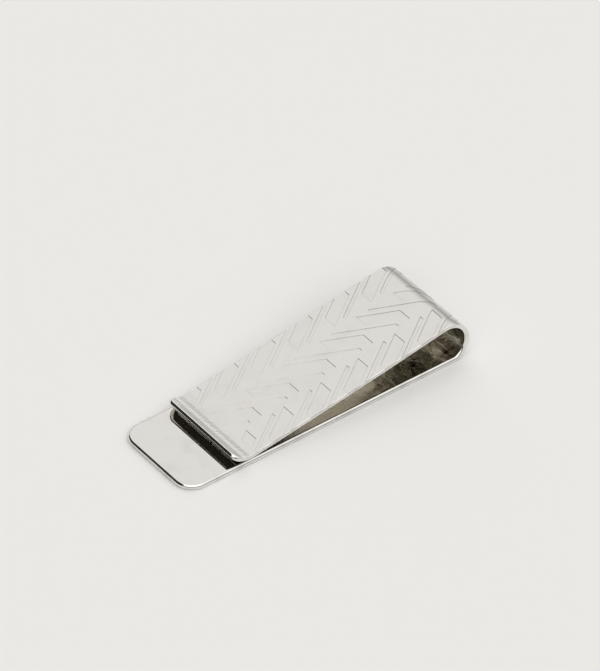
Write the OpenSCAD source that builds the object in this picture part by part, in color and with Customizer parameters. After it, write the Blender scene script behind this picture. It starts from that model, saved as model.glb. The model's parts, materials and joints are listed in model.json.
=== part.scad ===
// Money clip: one springy strip of stainless steel, bent back over itself.
// The strip lies along X with its loop at +X and the open end, where notes go in, at -X.
// It stands on its flat base leg, and the origin is under the middle of the whole clip.

/* [Strip] */
// Width of the strip, across the clip
strip_w = 20; // [14:0.5:30]
// Thickness of the strip
strip_t = 1; // [0.6:0.05:1.4]

/* [Base leg] */
// Length of the flat base leg, from its front edge to the rear bend
base_l = 57.9; // [50:0.1:75]
// Radius of the base leg's two front corners, seen from above
base_corner_r = 3.8; // [1:0.1:6]

/* [Loop] */
// Inside radius of the tight bend at the back of the base leg
bend_r = 0.9; // [0.5:0.05:2]
// Angle through which the tight bend turns the strip up, before the loop takes over
bend_angle = 33; // [20:1:60]
// Inside radius of the loop
loop_r = 3.65; // [2.8:0.05:5]

/* [Arm] */
// Straight-line length of the sprung arm, from the loop to the heel
arm_l = 41.8; // [34:0.1:45]
// Angle of the slight bow along the arm
arm_bow = 2.4; // [0.5:0.1:4]

/* [Heel and lip] */
// Radius of the heel and the lip, on the face that presses on the notes
heel_r = 5.6; // [4:0.1:8]
// Slope at which the heel passes into the lip, up from the base leg
heel_end_angle = 12; // [8:1:20]
// Slope of the lip at its edge, up from the base leg
lip_angle = 46; // [35:1:60]
// Radius of the lip's two corners
lip_corner_r = 1.8; // [0.5:0.1:3.5]
// Clearance between the heel and the base leg when the clip is empty
heel_gap = 0.05; // [0.02:0.01:0.2]

/* [Flexing] */
// Width of the hairline at the back of the loop, where the moving half of the strip starts
flex_gap = 0.04; // [0.02:0.01:0.1]

/* [Hidden] */

// Smoothness of the tight bends, and of the arm's long shallow curve
fine = 180;
very_fine = 1440;
// How far a shape that is trimmed reaches past its finished edge
over = 1;

// The side profile is drawn in the XZ plane, from the base leg's front edge and the ground.
// A heading is the strip's direction of travel from that edge, up from +X, in degrees.
function left_of(heading) = [-sin(heading), cos(heading)];

// Centres of the bends, along the strip's inner face
bend_c = [base_l, strip_t + bend_r];
loop_c = bend_c + (loop_r - bend_r) * left_of(bend_angle);

// The arm's slope at the loop is the one that sets the heel down on the base leg:
// slope_a * cos(slope) + slope_b * sin(slope) = slope_c
slope_a = loop_r + arm_l * sin(arm_bow / 2) + heel_r * cos(arm_bow);
slope_b = heel_r * sin(arm_bow) - arm_l * cos(arm_bow / 2);
slope_c = heel_r + strip_t + heel_gap - loop_c[1];
arm_slope = atan2(slope_b, slope_a) + acos(slope_c / norm([slope_a, slope_b]));

loop_end_heading = 180 + arm_slope;
arm_end_heading = loop_end_heading - arm_bow;
heel_end_heading = 180 - heel_end_angle;
lip_end_heading = 180 - lip_angle;

// The arm and the heel turn the other way, so their inner face has the larger radius
arm_r = arm_l / (2 * sin(arm_bow / 2));
arm_c = loop_c - (loop_r + arm_r) * left_of(loop_end_heading);
heel_c = arm_c + (arm_r - heel_r) * left_of(arm_end_heading);

// Half of the hairline, as an angle about the loop's centre
flex_half_angle = asin(flex_gap / 2 / (loop_r + strip_t));

// Overall length, which puts the origin under the middle of the clip
clip_l = loop_c[0] + loop_r + strip_t;

// Middle of the lip's edge, and the turn past it that is trimmed off
lip_edge = heel_c + (heel_r - strip_t / 2) * left_of(lip_end_heading);
lip_trim_angle = over / heel_r * 180 / PI;
// The lip's corners end, at the latest, where the lip passes into the heel
lip_l = (heel_r - strip_t) * sin(lip_angle - heel_end_angle);
trimmed_corner_r = min(lip_corner_r, lip_l);

// Puts a shape that is drawn from the base leg's front edge in the clip's own frame
module placed() {
  translate([-clip_l / 2, 0, 0]) children();
}

// A length of strip bent about a centre, between two angles up from +X, with its smaller radius given
module bent_strip(centre, small_r, from, to, width, smoothness) {
  translate([centre[0], width / 2, centre[1]])
    rotate([90, 0, 0])
      rotate([0, 0, from])
        rotate_extrude(angle = to - from, $fn = smoothness)
          translate([small_r, 0]) square([strip_t, width]);
}

// A bend that turns the strip to the left of its travel, as the loop does
module left_bend(centre, inner_r, from_heading, to_heading) {
  bent_strip(centre, inner_r, from_heading - 90, to_heading - 90, strip_w, fine);
}

// A bend that turns the strip to the right of its travel, as the heel does
module right_bend(centre, inner_r, from_heading, to_heading, width = strip_w, smoothness = fine) {
  bent_strip(centre, inner_r - strip_t, to_heading + 90, from_heading + 90, width, smoothness);
}

// Outline of a strip's end, seen flat: it runs back along +X from an edge with two rounded corners
module strip_end(length, corner_r) {
  difference() {
    translate([0, -strip_w / 2]) square([length, strip_w]);
    for (side = [0, 1])
      mirror([0, side])
        translate([corner_r, strip_w / 2 - corner_r])
          difference() {
            translate([-corner_r - over, 0]) square(corner_r + over);
            circle(r = corner_r, $fn = fine);
          }
  }
}

// Flat back plate that the clip stands on
module base_leg() {
  color("gainsboro") placed()
    linear_extrude(strip_t) strip_end(base_l, base_corner_r);
}

// Tight bend that starts the loop
module rear_bend() {
  color("silver") placed()
    left_bend(bend_c, bend_r, 0, bend_angle);
}

// Lower part of the loop, up to its rearmost line
module rear_wall() {
  color("darkgray") placed()
    left_bend(loop_c, loop_r, bend_angle, 90 - flex_half_angle);
}

// Upper part of the loop, over to the arm
module top_bend() {
  color("silver") placed()
    left_bend(loop_c, loop_r, 90 + flex_half_angle, loop_end_heading);
}

// Long front plate, slightly bowed, that springs the heel down on the notes
module arm() {
  color("whitesmoke") placed()
    right_bend(arm_c, arm_r, loop_end_heading, arm_end_heading, smoothness = very_fine);
}

// Rounded line that presses on the notes
module heel() {
  color("silver") placed()
    right_bend(heel_c, heel_r, arm_end_heading, heel_end_heading);
}

// Upturned lip with rounded corners, which lets notes slide in
module lip() {
  color("lightgray") placed()
    intersection() {
      right_bend(heel_c, heel_r, heel_end_heading, lip_end_heading - lip_trim_angle, strip_w + 2 * over);
      translate([lip_edge[0], 0, lip_edge[1]])
        rotate([0, 180 - lip_end_heading, 0])
          linear_extrude(2 * heel_r, center = true) strip_end(heel_r, trimmed_corner_r);
    }
}

base_leg();
rear_bend();
rear_wall();
top_bend();
arm();
heel();
lip();
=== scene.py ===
# %% [markdown]
# # A money clip, bent from one strip of steel
# A money clip is a single strip of springy stainless steel. It is cut flat, its front face is engraved
# while it is still flat, its edges are tumbled smooth, and then it is bent cold into a loop, a long
# sprung arm, a rounded heel and a turned-up lip. This script follows the same order: cut a flat blank,
# engrave it, then bend it.
#
# The first step loads the working model, which says where the clip is and how it moves.

# %% Load the working model
import json
import math

import bmesh
import bpy
from mathutils import Matrix, Vector

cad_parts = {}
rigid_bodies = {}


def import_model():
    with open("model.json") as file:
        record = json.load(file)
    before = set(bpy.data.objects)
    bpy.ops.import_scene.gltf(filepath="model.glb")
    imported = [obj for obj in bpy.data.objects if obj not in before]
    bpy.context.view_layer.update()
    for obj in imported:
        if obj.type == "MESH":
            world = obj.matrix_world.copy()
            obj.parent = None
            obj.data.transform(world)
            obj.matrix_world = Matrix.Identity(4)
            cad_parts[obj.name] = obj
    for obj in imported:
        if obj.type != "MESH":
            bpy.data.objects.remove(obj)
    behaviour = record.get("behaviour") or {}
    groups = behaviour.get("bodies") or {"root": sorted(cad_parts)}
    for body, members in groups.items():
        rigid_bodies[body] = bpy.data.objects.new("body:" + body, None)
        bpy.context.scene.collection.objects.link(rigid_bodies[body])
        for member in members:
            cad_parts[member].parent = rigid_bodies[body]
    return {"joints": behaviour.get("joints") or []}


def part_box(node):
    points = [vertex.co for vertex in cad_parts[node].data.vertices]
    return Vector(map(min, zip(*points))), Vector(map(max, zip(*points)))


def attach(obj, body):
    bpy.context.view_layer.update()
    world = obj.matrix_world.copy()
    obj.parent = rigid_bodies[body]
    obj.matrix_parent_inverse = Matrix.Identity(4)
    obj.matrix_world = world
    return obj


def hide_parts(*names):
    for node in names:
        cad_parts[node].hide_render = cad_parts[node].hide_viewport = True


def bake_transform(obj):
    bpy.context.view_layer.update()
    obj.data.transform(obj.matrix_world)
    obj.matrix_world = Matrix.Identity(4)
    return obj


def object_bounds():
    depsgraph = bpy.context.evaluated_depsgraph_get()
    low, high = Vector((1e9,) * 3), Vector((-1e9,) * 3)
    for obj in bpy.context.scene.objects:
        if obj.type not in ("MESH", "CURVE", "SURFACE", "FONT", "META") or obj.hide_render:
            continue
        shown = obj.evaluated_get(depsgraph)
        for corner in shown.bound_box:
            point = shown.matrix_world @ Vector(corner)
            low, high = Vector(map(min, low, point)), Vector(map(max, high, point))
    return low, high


for startup_object in list(bpy.data.objects):
    bpy.data.objects.remove(startup_object)
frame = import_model()
frame_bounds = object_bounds()
MM = 0.001
print("working model:", [round(v / MM, 2) for v in (frame_bounds[1] - frame_bounds[0])], "mm")

# %% [markdown]
# ## Sizes
# The strip's width, its thickness and the length of its flat base leg are read from the working model.
# The loop's radius follows from the height of the joint's line and the model's top. The few sizes that
# can't be read from a box are named here: the tight rear bend, the arm, the heel and the lip. Angles are
# in radians.

# %% Sizes of the strip and its bends
base_low, base_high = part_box("base_leg")
strip_w = base_high.y - base_low.y
strip_t = base_high.z - base_low.z
base_l = base_high.x - base_low.x
front_x = base_low.x

flex_x, _, flex_z = frame["joints"][0]["pos_m"]
loop_r = frame_bounds[1].z - flex_z - strip_t

bend_r = 0.9 * MM
bend_angle = math.radians(33)
arm_l = 41.8 * MM
arm_bow = math.radians(2.4)
heel_r = 5.6 * MM
lip_angle = math.radians(46)
heel_gap = 0.05 * MM

base_corner_r = 3.8 * MM
lip_corner_r = 1.8 * MM
print("strip", round(strip_w / MM, 2), "x", round(strip_t / MM, 2), "mm")
print("loop radius", round(loop_r / MM, 3), "mm")

# %% [markdown]
# ## The bent line
# Seen from the side, the strip is a chain of straight runs and arcs. Each one has a length along the
# middle of the steel and a turn. The arm's slope isn't chosen: it is the slope that sets the heel down
# on the base leg, which is how a toolmaker would set the last bend.

# %% Stretches of the strip, from the base leg's front edge to the lip's edge
loop_height = strip_t + bend_r + (loop_r - bend_r) * math.cos(bend_angle)
reach_a = loop_r + arm_l * math.sin(arm_bow / 2) + heel_r * math.cos(arm_bow)
reach_b = heel_r * math.sin(arm_bow) - arm_l * math.cos(arm_bow / 2)
drop = heel_r + strip_t + heel_gap - loop_height
arm_slope = math.atan2(reach_b, reach_a) + math.acos(drop / math.hypot(reach_a, reach_b))
arm_r = arm_l / (2 * math.sin(arm_bow / 2))

loop_turn = math.pi + arm_slope - bend_angle
heel_turn = arm_slope - arm_bow + lip_angle
half_t = strip_t / 2
STRETCHES = [
    ("base leg", base_l, 0.0),
    ("rear bend", (bend_r + half_t) * bend_angle, bend_angle),
    ("loop", (loop_r + half_t) * loop_turn, loop_turn),
    ("arm", (arm_r - half_t) * arm_bow, -arm_bow),
    ("heel and lip", (heel_r - half_t) * heel_turn, -heel_turn),
]
starts = {}
strip_l = 0.0
for title, length, _ in STRETCHES:
    starts[title] = strip_l
    strip_l += length
print("arm slope", round(math.degrees(arm_slope), 2), "degrees")
print("flat strip", round(strip_l / MM, 1), "mm long")

# %% [markdown]
# A point of the flat blank has a distance along the strip, a place across it and a height through the
# steel. This function says where that point ends up after all the bends before it. It walks along the
# stretches, and carries the point round each arc about the arc's centre.


# %% Where a point of the flat blank goes when the strip is bent
def leftward(heading):
    return Vector((-math.sin(heading), 0, math.cos(heading)))


def bent(point):
    along, across, height = point
    at = Vector((front_x, 0, half_t))
    heading = 0.0
    left = along
    for title, length, turn in STRETCHES:
        step = left if title == "heel and lip" else min(left, length)
        swing = turn * step / length
        if turn:
            centre = at + leftward(heading) * (length / turn)
            at = centre - leftward(heading + swing) * (length / turn)
        else:
            at = at + Vector((step, 0, 0))
        heading += swing
        left -= step
        if left <= 0:
            break
    return at + leftward(heading) * height + Vector((0, across, 0))


lip_edge = bent((strip_l, 0, half_t))
model_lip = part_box("lip")[0]
print("lip's edge", [round(v / MM, 2) for v in lip_edge])
print("lip of the working model", [round(v / MM, 2) for v in model_lip])

# %% [markdown]
# ## A flat blank
# A blank starts as a box. Bevelling its upright edges rounds the corners of its outline, as the cutting
# tool does. A punched blank is rounded where the punch pushed the steel in and crisp where it broke
# away, so the top rim, which becomes the inside of the clip, gets a wide bevel, and the bottom rim a
# fine one. An end that meets the next piece keeps its square rim, so that the two pieces join without a
# line.

# %% Cutting a blank
INSIDE_RIM_R = 0.55 * MM
FRONT_RIM_R = 0.2 * MM
INSIDE_RIM_SEGMENTS = 10
FRONT_RIM_SEGMENTS = 4
CORNER_SEGMENTS = 24
NEAR = 1e-6
RIMS = (
    (half_t, INSIDE_RIM_R, INSIDE_RIM_SEGMENTS),
    (-half_t, FRONT_RIM_R, FRONT_RIM_SEGMENTS),
)


def flat_blank(start, end, start_corner=0.0, end_corner=0.0):
    bm = bmesh.new()
    bmesh.ops.create_cube(bm, size=1.0)
    bmesh.ops.scale(bm, vec=(end - start, strip_w, strip_t), verts=bm.verts)
    bmesh.ops.translate(bm, vec=((start + end) / 2, 0, 0), verts=bm.verts)
    for place, radius in ((start, start_corner), (end, end_corner)):
        if radius:
            upright = [
                e for e in bm.edges
                if all(abs(v.co.x - place) < NEAR for v in e.verts)
                and abs(e.verts[0].co.z - e.verts[1].co.z) > NEAR
            ]
            bmesh.ops.bevel(
                bm, geom=upright, offset=radius, offset_type="OFFSET", affect="EDGES",
                segments=CORNER_SEGMENTS, profile=0.5, material=-1,
            )
    joined = [p for p, r in ((start, start_corner), (end, end_corner)) if not r]
    for height, radius, segments in RIMS:
        rim = [
            e for e in bm.edges
            if all(abs(v.co.z - height) < NEAR for v in e.verts)
            and not any(all(abs(v.co.x - p) < NEAR for v in e.verts) for p in joined)
        ]
        bmesh.ops.bevel(
            bm, geom=rim, offset=radius, offset_type="OFFSET", affect="EDGES",
            segments=segments, profile=0.5, material=-1,
        )
    return bm


def as_piece(bm, name):
    bmesh.ops.recalc_face_normals(bm, faces=bm.faces)
    mesh = bpy.data.meshes.new(name)
    bm.to_mesh(mesh)
    bm.free()
    piece = bpy.data.objects.new(name, mesh)
    bpy.context.scene.collection.objects.link(piece)
    return piece


# %% [markdown]
# The base leg meets the loop where the strip is flat, and the arm meets it where the strip is nearly
# flat. Both seams lie a little way from the bends, so that light runs over them without a break.

# %% The three blanks
SEAM_MARGIN = 0.6 * MM
base_seam = base_l - SEAM_MARGIN
arm_seam = starts["arm"] + SEAM_MARGIN

base_blank = as_piece(flat_blank(0, base_seam, start_corner=base_corner_r), "base_skin")
loop_blank = as_piece(flat_blank(base_seam, arm_seam), "loop_skin")
arm_blank = as_piece(flat_blank(arm_seam, strip_l, end_corner=lip_corner_r), "arm_skin")
blanks = (base_blank, loop_blank, arm_blank)
print("blanks:", [blank.name for blank in blanks])

# %% [markdown]
# ## Engraving
# The engraving is a plain herringbone: slanting bars in columns that run along the strip, a wide one and
# a narrow one in turn, which lean the other way in the next column. The bars are cut less than a tenth
# of a millimetre deep, with sloping walls. A pattern in the material could fake it, but real grooves
# catch the light properly at every angle, so each bar is a solid cutter that is taken away from the
# blank.

# %% Sizes of the pattern
GROOVE_DEPTH = 0.07 * MM
GROOVE_SLOPE = 0.06 * MM
CLEAR = 0.2 * MM
COLUMN = 8.0 * MM
COLUMN_GAP = 0.9 * MM
WIDE_BAR = 2.9 * MM
NARROW_BAR = 0.8 * MM
BAR_GAP = 0.8 * MM
LEAN = math.tan(math.radians(33))
PITCH = (WIDE_BAR + NARROW_BAR + 2 * BAR_GAP) / LEAN

PLAIN_AT_HEEL = 0.3 * MM
PLAIN_SHARE_OF_LOOP = 0.45

pattern_end = starts["heel and lip"] - PLAIN_AT_HEEL
pattern_start = starts["loop"] + PLAIN_SHARE_OF_LOOP * (starts["arm"] - starts["loop"])
print("pattern from", round(pattern_start / MM, 1), "to", round(pattern_end / MM, 1), "mm along the strip")

# %% [markdown]
# A bar is one short edge across the strip, extruded along its slant. Both its ends stay square across
# the strip.


# %% Flat outline of a slanting bar
def slanting_bar(bm, along, across, width, lean):
    """A bar whose middle is at (along, across). It fills its column's height, and leans to +1 or -1."""
    height = COLUMN - COLUMN_GAP - width
    low_end = (along - height / LEAN / 2, across - lean * height / 2)
    ends = [bm.verts.new((low_end[0], low_end[1] + side * width / 2, 0)) for side in (-1, 1)]
    made = bmesh.ops.extrude_edge_only(bm, edges=[bm.edges.new(ends)])["geom"]
    far_ends = [g for g in made if isinstance(g, bmesh.types.BMVert)]
    bmesh.ops.translate(bm, vec=(height / LEAN, lean * height, 0), verts=far_ends)


# %% All the outlines, trimmed at both ends of the pattern
pattern = bmesh.new()
for column in (-1, 0, 1):
    across = column * COLUMN
    lean = -1 if column else 1
    along = pattern_start - PITCH - (0 if column else PITCH / 2)
    while along < pattern_end + PITCH:
        slanting_bar(pattern, along, across, WIDE_BAR, lean)
        slanting_bar(pattern, along + PITCH / 2, across, NARROW_BAR, lean)
        along += PITCH
for place, outward in ((pattern_start, -1), (pattern_end, 1)):
    bmesh.ops.bisect_plane(
        pattern, geom=pattern.verts[:] + pattern.edges[:] + pattern.faces[:], dist=NEAR,
        plane_co=(place, 0, 0), plane_no=(outward, 0, 0), clear_outer=True,
    )
print(len(pattern.faces), "bars,", round(PITCH / MM, 2), "mm from one row to the next")

# %% [markdown]
# The flat outlines become solid cutters when they are extruded. Their lower rim is bevelled, so the
# walls of the groove slope as an engraver's tool leaves them. The cutters reach a little outside the
# steel, because a cut that ends exactly on a face is never clean.

# %% From outlines to cutters
made = bmesh.ops.extrude_face_region(pattern, geom=pattern.faces[:])["geom"]
deep = [g for g in made if isinstance(g, bmesh.types.BMVert)]
bmesh.ops.translate(pattern, vec=(0, 0, CLEAR + GROOVE_DEPTH), verts=deep)
bmesh.ops.translate(pattern, vec=(0, 0, -half_t - CLEAR), verts=pattern.verts)
floor_level = GROOVE_DEPTH - half_t
floors = [f for f in pattern.faces if all(abs(v.co.z - floor_level) < NEAR for v in f.verts)]
floor_rim = [e for f in floors for e in f.edges if sum(g in floors for g in e.link_faces) == 1]
bmesh.ops.bevel(
    pattern, geom=floor_rim, offset=GROOVE_SLOPE, offset_type="OFFSET", affect="EDGES",
    segments=1, profile=0.5, material=-1,
)
groove_cutter = as_piece(pattern, "groove_cutter")
print("cutter has", len(groove_cutter.data.polygons), "faces")


# %% [markdown]
# The groove floors get a material slot of their own, because the engraver's tool leaves a duller surface
# than the polishing wheel. The boolean carries the cutter's slot over to the faces that it makes. The
# other slots are handed out later, face by face.

# %% Engraving a blank
satin_front = bpy.data.materials.new("satin_front")
cut_groove = bpy.data.materials.new("cut_groove")
groove_wall = bpy.data.materials.new("groove_wall")
mirror_polish = bpy.data.materials.new("mirror_polish")
hazy_inside_with_painted_light = bpy.data.materials.new("hazy_inside_with_painted_light")
bent_heel = bpy.data.materials.new("bent_heel")
groove_cutter.data.materials.append(cut_groove)


def engrave(piece):
    cut = piece.modifiers.new("Engraving", "BOOLEAN")
    cut.operation = "DIFFERENCE"
    cut.solver = "EXACT"
    cut.object = groove_cutter
    cut.use_self = True
    cut.material_mode = "TRANSFER"
    shown = piece.evaluated_get(bpy.context.evaluated_depsgraph_get())
    engraved = bpy.data.meshes.new_from_object(shown)
    piece.modifiers.clear()
    piece.data = engraved


base_blank.data.materials.append(mirror_polish)
for piece in (loop_blank, arm_blank):
    piece.data.materials.append(satin_front)
    engrave(piece)
    print(piece.name, len(piece.data.polygons), "faces", [m.name for m in piece.data.materials])
bpy.data.objects.remove(groove_cutter)

# %% [markdown]
# ## Bending
# A flat face can't follow a bend, so each blank is first cut across at close stations wherever the strip
# will curve. Then every point goes where the bent line takes it. Before it moves, each corner keeps its
# flat place, in millimetres, in a map called Flat. The materials use that map, so scratches and grain
# run along the steel and round its bends, as they do on a real strip that was polished before it was
# bent.
#
# Recalculating normals can turn a bent shell inside out, and bare metal looks the same either way. The
# signed volume tells: when it is below zero the faces point inwards, and are reversed.
#
# A face of the flat blank counts as level when its normal is nearly upright. The floors of the grooves
# are held to a stricter limit, because their walls slope.

# %% Stations across the strip
SLIVER = 2e-6
STATION_TURN = math.radians(2.0)
ARM_STATIONS = 24
LEVEL_FACE = 0.9
LEVEL_FLOOR = 0.95


def stations():
    places = []
    for title, length, turn in STRETCHES:
        if not turn:
            continue
        count = ARM_STATIONS if title == "arm" else math.ceil(abs(turn) / STATION_TURN)
        places += [starts[title] + length * k / count for k in range(count + 1)]
    return sorted(set(places))


def hand_out_finishes(piece, bm):
    """While the blank is flat, its underside is the front and its top is the inside of the loop."""
    slots = piece.data.materials
    for finish in (satin_front, hazy_inside_with_painted_light, mirror_polish, bent_heel, groove_wall):
        if slots.find(finish.name) < 0:
            slots.append(finish)
    for face in bm.faces:
        middle = face.calc_center_median()
        if slots[face.material_index] == cut_groove:
            finish = cut_groove if face.normal.z < -LEVEL_FLOOR else groove_wall
        elif face.normal.z > LEVEL_FACE:
            finish = hazy_inside_with_painted_light
        elif face.normal.z > -LEVEL_FACE or piece == base_blank:
            finish = mirror_polish
        else:
            finish = bent_heel if middle.x > starts["heel and lip"] else satin_front
        face.material_index = slots.find(finish.name)


def bend(piece):
    bm = bmesh.new()
    bm.from_mesh(piece.data)
    bmesh.ops.remove_doubles(bm, verts=bm.verts, dist=NEAR / 10)
    low = min(v.co.x for v in bm.verts)
    high = max(v.co.x for v in bm.verts)
    for place in stations():
        if low + NEAR < place < high - NEAR:
            bmesh.ops.bisect_plane(
                bm, geom=bm.verts[:] + bm.edges[:] + bm.faces[:], dist=NEAR / 10,
                plane_co=(place, 0, 0), plane_no=(1, 0, 0),
            )
    bmesh.ops.dissolve_degenerate(bm, dist=SLIVER, edges=bm.edges)
    hand_out_finishes(piece, bm)
    flat = bm.loops.layers.uv.new("Flat")
    for face in bm.faces:
        for corner in face.loops:
            corner[flat].uv = (corner.vert.co.x / MM, corner.vert.co.y / MM)
    for vert in bm.verts:
        vert.co = bent(vert.co)
    bmesh.ops.recalc_face_normals(bm, faces=bm.faces)
    if bm.calc_volume(signed=True) < 0:
        bmesh.ops.reverse_faces(bm, faces=bm.faces)
    bm.to_mesh(piece.data)
    open_edges = sum(not e.is_manifold for e in bm.edges)
    volume = bm.calc_volume(signed=True)
    bm.free()
    return open_edges, volume


for piece in blanks:
    open_edges, volume = bend(piece)
    print(piece.name, len(piece.data.polygons), "faces,", open_edges, "open edges")
    print("    its steel fills", round(volume / MM**3, 1), "mm3")

# %% [markdown]
# Smooth shading hides the stations, and edges sharper than 30 degrees, such as the grooves' rims, stay
# crisp. The Weighted Normal modifier then lets the large faces keep their true direction, so that the
# polished steel reflects like a flat plate right up to its rounded rim.

# %% Shading of the bent pieces
SHARP = math.radians(30)
LARGE_FACE_WEIGHT = 50

for piece in blanks:
    piece.data.shade_smooth()
    piece.data.set_sharp_from_angle(angle=SHARP)
    weigh = piece.modifiers.new("Flat faces stay flat", "WEIGHTED_NORMAL")
    weigh.mode = "FACE_AREA"
    weigh.weight = LARGE_FACE_WEIGHT
    weigh.keep_sharp = True

# %% [markdown]
# ## Steel
# The clip is one metal with six finishes: a mirror polish under the base leg and round every edge, a
# fine satin on the front, duller grooves, dark groove walls, an inside that is hazy where the polishing
# wheel hardly reached and carries painted light and painted shade, and the heel, where cold bending has
# wrinkled the skin a little. One function lays what they all share: soft smudges from handling, which
# change the roughness and the colour.
# Another lays hairline scratches, which tilt the surface. Lengths in the materials are in millimetres,
# as the Flat map is, and the depths of scratches are in metres.


# %% What every steel finish shares
SMUDGE_SIZE = 4.5
SMUDGED = (0.35, 0.7)
STAINED = (0.45, 0.72)


def blended(tree, low, high, bottom, top, source):
    """A Map Range node with soft ends. It returns its result socket."""
    ramp = tree.nodes.new("ShaderNodeMapRange")
    ramp.interpolation_type = "SMOOTHSTEP"
    ramp.inputs["From Min"].default_value = low
    ramp.inputs["From Max"].default_value = high
    ramp.inputs["To Min"].default_value = bottom
    ramp.inputs["To Max"].default_value = top
    tree.links.new(source, ramp.inputs["Value"])
    return ramp.outputs["Result"]


def place_on_strip(tree, axis):
    """The distance along the flat strip, X, or across it, Y, in millimetres."""
    flat = tree.nodes.new("ShaderNodeUVMap")
    flat.uv_map = "Flat"
    place = tree.nodes.new("ShaderNodeSeparateXYZ")
    tree.links.new(flat.outputs["UV"], place.inputs["Vector"])
    return place.outputs[axis]


def worked_out(tree, operation, first, second=None):
    """A Math node on one or two sockets."""
    sums = tree.nodes.new("ShaderNodeMath")
    sums.operation = operation
    tree.links.new(first, sums.inputs[0])
    if second:
        tree.links.new(second, sums.inputs[1])
    return sums.outputs["Value"]


def between(tree, rise, fall, source, top=1.0, left=0.0):
    """Climbs from 0 to top over the rise, then sinks over the fall to the share of it that is left."""
    climb = blended(tree, *rise, 0.0, top, source)
    sink = blended(tree, *fall, 1.0, left, source)
    return worked_out(tree, "MULTIPLY", climb, sink)


def from_middle_line(tree):
    """The distance from the strip's middle line, in millimetres, on either side."""
    return worked_out(tree, "ABSOLUTE", place_on_strip(tree, "Y"))


def flat_noise(tree, length, width, detail=4.0, distortion=0.0, slant=0.0):
    """A streaky noise on the flat strip. Its streaks are sized in millimetres and slanted in degrees."""
    flat = tree.nodes.new("ShaderNodeUVMap")
    flat.uv_map = "Flat"
    stretch = tree.nodes.new("ShaderNodeMapping")
    stretch.vector_type = "TEXTURE"
    stretch.inputs["Scale"].default_value = (length, width, 1)
    stretch.inputs["Rotation"].default_value = (0, 0, math.radians(slant))
    tree.links.new(flat.outputs["UV"], stretch.inputs["Vector"])
    noise = tree.nodes.new("ShaderNodeTexNoise")
    noise.inputs["Scale"].default_value = 1.0
    noise.inputs["Detail"].default_value = detail
    noise.inputs["Distortion"].default_value = distortion
    tree.links.new(stretch.outputs["Vector"], noise.inputs["Vector"])
    return noise.outputs["Fac"]


def steel_finish(material, colour, stain, roughness, smudge):
    material.use_nodes = True
    tree = material.node_tree
    tree.nodes.clear()
    out = tree.nodes.new("ShaderNodeOutputMaterial")
    shader = tree.nodes.new("ShaderNodeBsdfPrincipled")
    tree.links.new(shader.outputs["BSDF"], out.inputs["Surface"])
    shader.inputs["Metallic"].default_value = 1.0
    cloud = flat_noise(tree, length=SMUDGE_SIZE, width=SMUDGE_SIZE, detail=5.0, distortion=0.8)
    smudged = blended(tree, *SMUDGED, roughness, roughness + smudge, cloud)
    tree.links.new(smudged, shader.inputs["Roughness"])
    tint = tree.nodes.new("ShaderNodeMix")
    tint.data_type = "RGBA"
    tint.inputs["A"].default_value = (*colour, 1)
    tint.inputs["B"].default_value = (*stain, 1)
    tree.links.new(blended(tree, *STAINED, 0.0, 1.0, cloud), tint.inputs["Factor"])
    tree.links.new(tint.outputs["Result"], shader.inputs["Base Color"])
    return tree, shader


def recolour(tree, shader, colour, amount):
    """Mixes a colour over the one that is there, as much as the amount socket says."""
    mix = tree.nodes.new("ShaderNodeMix")
    mix.data_type = "RGBA"
    mix.inputs["B"].default_value = (*colour, 1)
    tree.links.new(amount, mix.inputs["Factor"])
    tree.links.new(shader.inputs["Base Color"].links[0].from_socket, mix.inputs["A"])
    tree.links.new(mix.outputs["Result"], shader.inputs["Base Color"])


def roughen(tree, shader, height, depth):
    """Tilts the surface as if the height socket stood up by depth, on top of any earlier tilt."""
    tilt = tree.nodes.new("ShaderNodeBump")
    tilt.inputs["Distance"].default_value = depth
    tree.links.new(height, tilt.inputs["Height"])
    if shader.inputs["Normal"].links:
        tree.links.new(shader.inputs["Normal"].links[0].from_socket, tilt.inputs["Normal"])
    tree.links.new(tilt.outputs["Normal"], shader.inputs["Normal"])


# %% [markdown]
# The mirror polish keeps only fine hairlines. The satin has a denser grain, and grows shinier towards
# the strip's two edges, where a pocket and fingers have rubbed it.

# %% Mirror polish and satin front
STEEL_BRIGHT = (0.80, 0.785, 0.75)
STEEL = (0.65, 0.632, 0.598)
STEEL_DULL = (0.61, 0.592, 0.556)
STEEL_SATIN = (0.635, 0.617, 0.583)

SCRATCH_SLANTS = (28, -34)
EDGE_RUB = 0.8
RUBBED_ROUGHNESS_SHARE = 0.35

tree, shader = steel_finish(mirror_polish, STEEL_BRIGHT, STEEL, roughness=0.04, smudge=0.05)
roughen(tree, shader, flat_noise(tree, length=2.0, width=0.14), depth=0.0003 * MM)

tree, shader = steel_finish(satin_front, STEEL, STEEL_SATIN, roughness=0.20, smudge=0.04)
roughen(tree, shader, flat_noise(tree, length=1.4, width=0.16), depth=0.0009 * MM)
for slant in SCRATCH_SLANTS:
    scratches = flat_noise(tree, length=9.0, width=0.22, detail=2.0, slant=slant)
    roughen(tree, shader, scratches, depth=0.0010 * MM)

half_w = strip_w / MM / 2
rub = blended(tree, half_w - EDGE_RUB, half_w, 1.0, RUBBED_ROUGHNESS_SHARE, from_middle_line(tree))
rubbed = worked_out(tree, "MULTIPLY", shader.inputs["Roughness"].links[0].from_socket, rub)
tree.links.new(rubbed, shader.inputs["Roughness"])
print("finishes so far:", mirror_polish.name, satin_front.name)

# %% [markdown]
# The engraver works each bar along its slant, so the streaks in the grooves lean one way in the middle
# column and the other way in the outer columns. Polishing compound stays behind along the sloping walls
# and draws a thin dark line round each bar. Near the heel, where fingers slide the notes in, the lines
# are rubbed nearly clean.

# %% Grooves
COLUMN_EDGE = COLUMN / 2 / MM
COLUMN_BLEND = 0.1
WALL = (0.30, 0.285, 0.255)
WALL_DULL = (0.22, 0.207, 0.18)
WEAR_STARTS = starts["arm"] / MM + 4
WEAR_FULL = starts["arm"] / MM + 26
MOST_WEAR = 0.72

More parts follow.
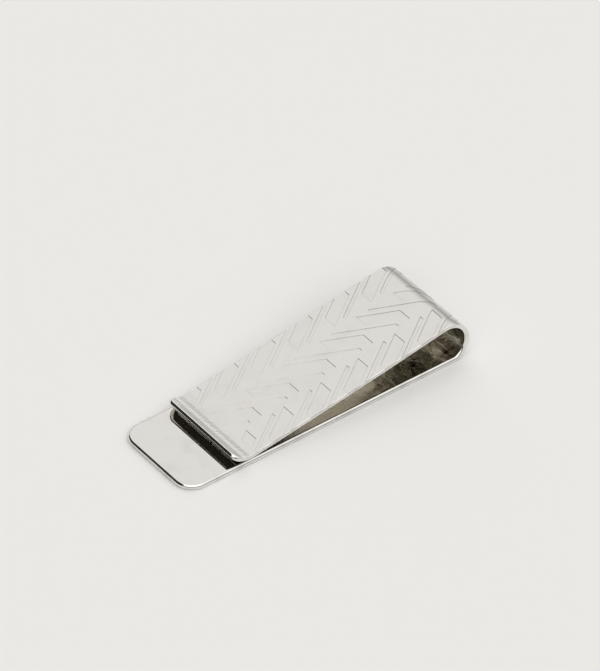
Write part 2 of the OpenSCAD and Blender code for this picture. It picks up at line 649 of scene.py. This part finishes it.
tree, shader = steel_finish(cut_groove, STEEL, STEEL_SATIN, roughness=0.24, smudge=0.03)
slant = math.degrees(math.atan(LEAN))
in_outer_column = blended(
    tree, COLUMN_EDGE - COLUMN_BLEND, COLUMN_EDGE + COLUMN_BLEND, 0.0, 1.0, from_middle_line(tree)
)
streaks = tree.nodes.new("ShaderNodeMix")
streaks.data_type = "FLOAT"
tree.links.new(in_outer_column, streaks.inputs["Factor"])
for column_input, streak_slant in (("A", slant), ("B", -slant)):
    leaning = flat_noise(tree, length=6.0, width=0.22, slant=streak_slant)
    tree.links.new(leaning, streaks.inputs[column_input])
roughen(tree, shader, streaks.outputs["Result"], depth=0.0026 * MM)

tree, shader = steel_finish(groove_wall, WALL, WALL_DULL, roughness=0.30, smudge=0.10)
roughen(tree, shader, flat_noise(tree, length=0.3, width=0.3), depth=0.003 * MM)
worn = blended(tree, WEAR_STARTS, WEAR_FULL, 0.0, MOST_WEAR, place_on_strip(tree, "X"))
recolour(tree, shader, STEEL, worn)
print("grooves:", cut_groove.name, groove_wall.name)

# %% [markdown]
# The inside is as bright as a mirror on the open part of the base leg. Under the arm both faces get a
# brighter colour, painted light in the gap, though the arm's underside is brushed a little. Deeper in,
# the polishing wheel can't reach: the surface there is rougher and hazy, and its darker brownish colour is
# painted shade in the loop. The distance along the strip says which is which. Ripples from the bending
# rollers matter in a mirror, because they break what it reflects into soft dark and light patches.

# %% Hazy inside
# Painted shade: this colour darkens the inside deep in the loop.
PAINTED_SHADE_HAZE = (0.54, 0.505, 0.425)
HAZE_STARTS = (38, 50)
HAZE_ENDS = (80, 92)
SHADED_BASE = (20, 32)
BRUSH_ROUGHNESS = 0.12
BASE_ROUGHNESS = 0.05
# Painted light: this colour brightens the gap under the arm.
PAINTED_GAP_LIGHT = (0.83, 0.808, 0.757)
heel_at = starts["heel and lip"] / MM
HEEL_BLEND = 4
BEFORE_HEEL = (heel_at - HEEL_BLEND, heel_at)
BRUSHING_PAST_HEEL = 0.1
HAZE_ROUGHNESS = 0.14
BLOTCHES = (0.32, 0.60)
THINNEST_HAZE = 0.2

# This finish carries painted light in the gap under the arm and painted shade deep in the loop.
tree, shader = steel_finish(hazy_inside_with_painted_light, STEEL, STEEL_DULL, roughness=0.04, smudge=0.05)
along = place_on_strip(tree, "X")
deep = between(tree, HAZE_STARTS, HAZE_ENDS, along)
mottle = flat_noise(tree, length=6.0, width=4.5, detail=5.0, distortion=1.2)
blotches = blended(tree, *BLOTCHES, THINNEST_HAZE, 1.0, mottle)
haze_and_painted_shade = worked_out(tree, "MULTIPLY", deep, blotches)
# Painted shade: deep in the loop the colour turns darker and browner, in blotches, where the inside lies
# in shade. The same mask also makes the surface rougher there.
recolour(tree, shader, PAINTED_SHADE_HAZE, haze_and_painted_shade)

# Painted light: the base top and the arm's underside in the gap under the arm get a brighter colour, which
# stands in for light reaching the gap.
painted_light_on_base = between(tree, SHADED_BASE, HAZE_STARTS, along)
painted_light_on_arm = between(tree, HAZE_ENDS, BEFORE_HEEL, along)
recolour(tree, shader, PAINTED_GAP_LIGHT, worked_out(tree, "ADD", painted_light_on_base, painted_light_on_arm))

rough = shader.inputs["Roughness"].links[0].from_socket
for extra in (
    between(tree, HAZE_ENDS, BEFORE_HEEL, along, top=BRUSH_ROUGHNESS, left=BRUSHING_PAST_HEEL),
    between(tree, SHADED_BASE, HAZE_STARTS, along, top=BASE_ROUGHNESS),
    blended(tree, 0.0, 1.0, 0.0, HAZE_ROUGHNESS, haze_and_painted_shade),
):
    rough = worked_out(tree, "ADD", rough, extra)
tree.links.new(rough, shader.inputs["Roughness"])

swells = flat_noise(tree, length=4.0, width=5.5, detail=2.0, distortion=1.0)
roughen(tree, shader, worked_out(tree, "MULTIPLY", deep, swells), depth=0.30 * MM)
roughen(tree, shader, flat_noise(tree, length=2.0, width=0.14), depth=0.0004 * MM)
print("inside:", hazy_inside_with_painted_light.name, "hazy from", HAZE_STARTS[0], "to", HAZE_ENDS[1], "mm along the strip")

# %% [markdown]
# Cold bending squeezes the skin on the hollow side of the heel. The steel gets a faint orange-peel look
# there, strongest in the fold. Past the fold the lip is smooth again, and burnished bright by the thumb
# that lifts it.

# %% Bent heel
FOLD_START = 0.7
FOLD_DEEPEST = 1.8
FOLD_END = 3.0
BURNISHED = (0.80, 0.785, 0.75)
fold_start, fold_deepest, fold_end = (heel_at + past for past in (FOLD_START, FOLD_DEEPEST, FOLD_END))

tree, shader = steel_finish(bent_heel, STEEL, STEEL_DULL, roughness=0.27, smudge=0.06)
along = place_on_strip(tree, "X")
fold = between(tree, (fold_start, fold_deepest), (fold_deepest, fold_end), along)
wrinkles = worked_out(tree, "MULTIPLY", flat_noise(tree, length=0.8, width=0.28, detail=3.0), fold)
roughen(tree, shader, wrinkles, depth=0.19 * MM)
roughen(tree, shader, flat_noise(tree, length=1.6, width=0.14), depth=0.0004 * MM)

recolour(tree, shader, BURNISHED, blended(tree, fold_start, fold_end, 0.0, 1.0, along))
print("heel:", bent_heel.name, "folds at", round(fold_deepest, 1), "mm along the strip")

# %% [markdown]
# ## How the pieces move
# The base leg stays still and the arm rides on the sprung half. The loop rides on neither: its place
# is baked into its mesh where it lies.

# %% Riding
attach(base_blank, "back_leg")
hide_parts("base_leg")

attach(arm_blank, "spring_arm")
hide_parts("arm", "heel", "lip")

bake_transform(loop_blank)
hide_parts("rear_bend", "rear_wall", "top_bend")

# %% [markdown]
# ## Floor, light and camera
# The clip lies on a plain pale floor under a large soft sky. Polished steel shows its surroundings, so
# the sky does most of the work: it is bright overhead, brighter still where the key light hangs in front
# on the left, and it fades to grey at the horizon. On the far left it has a soft dark patch, like a
# black card on a stand. The card draws the thin black lines along the rims, darkens the mirror under the
# lip and gives the loop's inside its depth.

# %% Floor
FLOOR_REACH = 2.0
PAPER = (0.87, 0.86, 0.835)
PAPER_ROUGHNESS = 0.9
PAPER_SHINE = 0.1

floor_bm = bmesh.new()
bmesh.ops.create_grid(floor_bm, x_segments=1, y_segments=1, size=FLOOR_REACH)
floor = as_piece(floor_bm, "floor")
paper = bpy.data.materials.new("pale_paper")
paper.use_nodes = True
paper_shader = paper.node_tree.nodes["Principled BSDF"]
paper_shader.inputs["Base Color"].default_value = (*PAPER, 1)
paper_shader.inputs["Roughness"].default_value = PAPER_ROUGHNESS
paper_shader.inputs["Specular IOR Level"].default_value = PAPER_SHINE
floor.data.materials.append(paper)

# %% Sky
SKY = 1.10
KEY_LIGHT = 1.50
KEY_AT = Vector((-0.50, -0.50, 0.70)).normalized()
KEY_EDGE = (0.55, 0.9)
UP = (0, 0, 1)
BEHIND = (0.79, 0.61, 0)
HORIZON_FRONT = 0.05
HORIZON_BACK = 0.46
HORIZON_EDGE = (0.10, 0.54)
FRONT_TO_BACK = (-0.3, 0.6)
CARD_COLOUR = (0.034, 0.031, 0.024, 1)
CARD_AT = Vector((-0.75, 0.60, 0.28)).normalized()
CARD_EDGE = (0.62, 0.76)

world = bpy.data.worlds.new("studio")
bpy.context.scene.world = world
world.use_nodes = True
sky = world.node_tree
sky.nodes.clear()
direction = sky.nodes.new("ShaderNodeTexCoord").outputs["Generated"]


def towards(axis):
    """How far a direction of the sky points along an axis, from -1 to 1."""
    dot = sky.nodes.new("ShaderNodeVectorMath")
    dot.operation = "DOT_PRODUCT"
    dot.inputs[1].default_value = axis
    sky.links.new(direction, dot.inputs[0])
    return dot.outputs["Value"]


open_sky = sky.nodes.new("ShaderNodeMix")
open_sky.data_type = "FLOAT"
above_horizon = blended(sky, *HORIZON_EDGE, 0.0, 1.0, towards(UP))
horizon = blended(sky, *FRONT_TO_BACK, HORIZON_FRONT, HORIZON_BACK, towards(BEHIND))
overhead = blended(sky, *KEY_EDGE, SKY, KEY_LIGHT, towards(KEY_AT))
sky.links.new(above_horizon, open_sky.inputs["Factor"])
sky.links.new(horizon, open_sky.inputs["A"])
sky.links.new(overhead, open_sky.inputs["B"])

with_card = sky.nodes.new("ShaderNodeMix")
with_card.data_type = "RGBA"
with_card.inputs["B"].default_value = CARD_COLOUR
sky.links.new(blended(sky, *CARD_EDGE, 0.0, 1.0, towards(CARD_AT)), with_card.inputs["Factor"])
sky.links.new(open_sky.outputs["Result"], with_card.inputs["A"])

background = sky.nodes.new("ShaderNodeBackground")
sky.links.new(with_card.outputs["Result"], background.inputs["Color"])
sky_out = sky.nodes.new("ShaderNodeOutputWorld")
sky.links.new(background.outputs["Background"], sky_out.inputs["Surface"])

# %% Camera
AIM = Vector((8.1, 9.5, 3.0)) * MM
DISTANCE = 1442.7 * MM
AZIMUTH = math.radians(-36.09)
ELEVATION = math.radians(40.45)
ROLL = math.radians(-0.96)
SENSOR = 36
FOCAL_LENGTH = 442.9
NEAREST = 0.01
FARTHEST = 20

camera_data = bpy.data.cameras.new("camera")
camera_data.sensor_width = SENSOR
camera_data.lens = FOCAL_LENGTH
camera_data.clip_start = NEAREST
camera_data.clip_end = FARTHEST
camera = bpy.data.objects.new("camera", camera_data)
bpy.context.scene.collection.objects.link(camera)
back = Vector((
    math.sin(AZIMUTH) * math.cos(ELEVATION),
    -math.cos(AZIMUTH) * math.cos(ELEVATION),
    math.sin(ELEVATION),
))
turn = back.to_track_quat("Z", "Y").to_matrix() @ Matrix.Rotation(ROLL, 3, "Z")
camera.matrix_world = Matrix.Translation(AIM + back * DISTANCE) @ turn.to_4x4()
bpy.context.scene.camera = camera
bpy.context.scene.view_settings.view_transform = "Standard"
